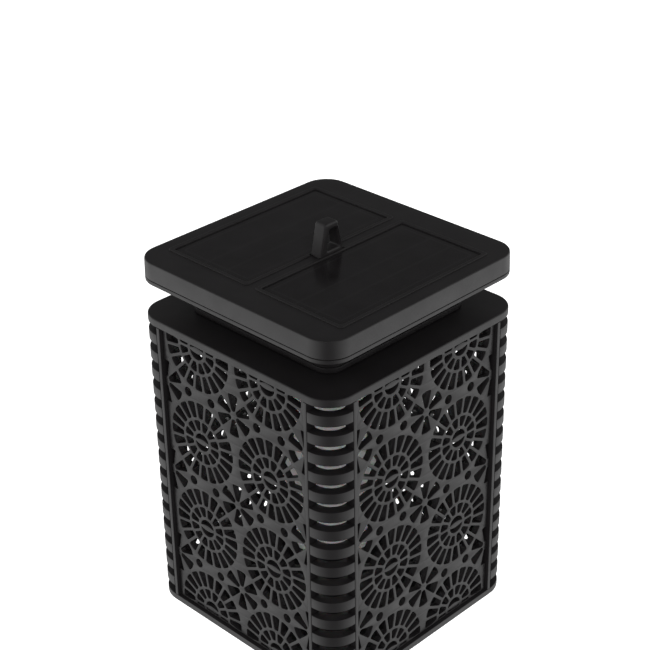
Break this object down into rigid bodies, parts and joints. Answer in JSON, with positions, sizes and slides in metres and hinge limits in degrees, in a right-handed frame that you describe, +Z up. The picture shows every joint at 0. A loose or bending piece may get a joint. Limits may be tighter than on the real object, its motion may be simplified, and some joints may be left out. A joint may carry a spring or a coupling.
{
  "type": "solar garden torch",
  "caption": "Square black solar garden torch: fretwork lantern with ribbed corners, lift-off solar cap with hanging loop, push-fit pole and ground spike.",
  "frame": {"origin": "On the pole's axis at ground level, at the underside of the spike's flange rim, where the soil holds the torch", "axes": "+Z up along the pole, +X and +Y square to the lantern's faces; the hanging loop's eye opens along X"},
  "size_m": [0.1516, 0.1516, 0.8546],
  "materials": {
    "satin_black_plastic": "satin moulded black plastic with a fine grain",
    "solar_glass": "glossy clear epoxy over dark solar cells with fine grid lines",
    "frosted_plastic": "frosted translucent white tube",
    "pale_nylon": "plain moulded off-white plastic",
    "circuit_board": "green lacquered board",
    "cell_wrap": "plain blue shrink wrap",
    "grey_rubber": "soft matt dark grey rubber",
    "black_painted_tube": "satin black powder coat on thin steel tube",
    "zinc_steel": "bright zinc plated"
  },
  "bodies": {
    "stake": {"ground_spike": "satin_black_plastic", "lower_pole": "black_painted_tube", "pole_collar": "satin_black_plastic"},
    "upper_pole": {"upper_pole": "black_painted_tube"},
    "lantern": {"pole_socket": "satin_black_plastic", "socket_screw_1": "zinc_steel", "socket_screw_2": "zinc_steel", "socket_screw_3": "zinc_steel", "socket_screw_4": "zinc_steel", "base_plate": "satin_black_plastic", "base_screw_1": "zinc_steel", "base_screw_2": "zinc_steel", "base_screw_3": "zinc_steel", "base_screw_4": "zinc_steel", "corner_post_1": "satin_black_plastic", "corner_post_2": "satin_black_plastic", "corner_post_3": "satin_black_plastic", "corner_post_4": "satin_black_plastic", "fret_panel_right": "satin_black_plastic", "fret_panel_back": "satin_black_plastic", "fret_panel_left": "satin_black_plastic", "fret_panel_front": "satin_black_plastic", "top_plate": "satin_black_plastic"},
    "solar_cap": {"cap_cover": "satin_black_plastic", "hanging_loop": "satin_black_plastic", "solar_panel_left": "solar_glass", "solar_panel_right": "solar_glass", "cap_tray": "satin_black_plastic", "cap_screw_1": "zinc_steel", "cap_screw_2": "zinc_steel", "cap_screw_3": "zinc_steel", "cap_screw_4": "zinc_steel", "neck_floor": "satin_black_plastic", "neck_screw_1": "zinc_steel", "neck_screw_2": "zinc_steel", "neck_screw_3": "zinc_steel", "neck_screw_4": "zinc_steel", "battery_holder": "satin_black_plastic", "battery": "cell_wrap", "circuit_board": "circuit_board", "switch_body": "grey_rubber", "lamp_core": "pale_nylon", "lamp_sleeve": "circuit_board", "flame_tube": "frosted_plastic", "flame_tube_cap": "satin_black_plastic"},
    "power_button": {"power_button": "grey_rubber"}
  },
  "joints": [
    {"name": "pole_pull", "type": "slide", "parent": "stake", "child": "upper_pole", "axis": [0, 0, 1], "range_m": [0, 0.026]},
    {"name": "head_turn", "type": "hinge", "parent": "upper_pole", "child": "lantern", "pos_m": [0, 0, 0.4542], "axis": [0, 0, 1], "continuous": true},
    {"name": "cap_lift", "type": "slide", "parent": "lantern", "child": "solar_cap", "axis": [0, 0, 1], "range_m": [0, 0.17]},
    {"name": "button_push", "type": "slide", "parent": "solar_cap", "child": "power_button", "axis": [0, -1, 0], "range_m": [0, 0.001], "stiffness_N_per_m": 300, "springref_m": -0.002}
  ]
}
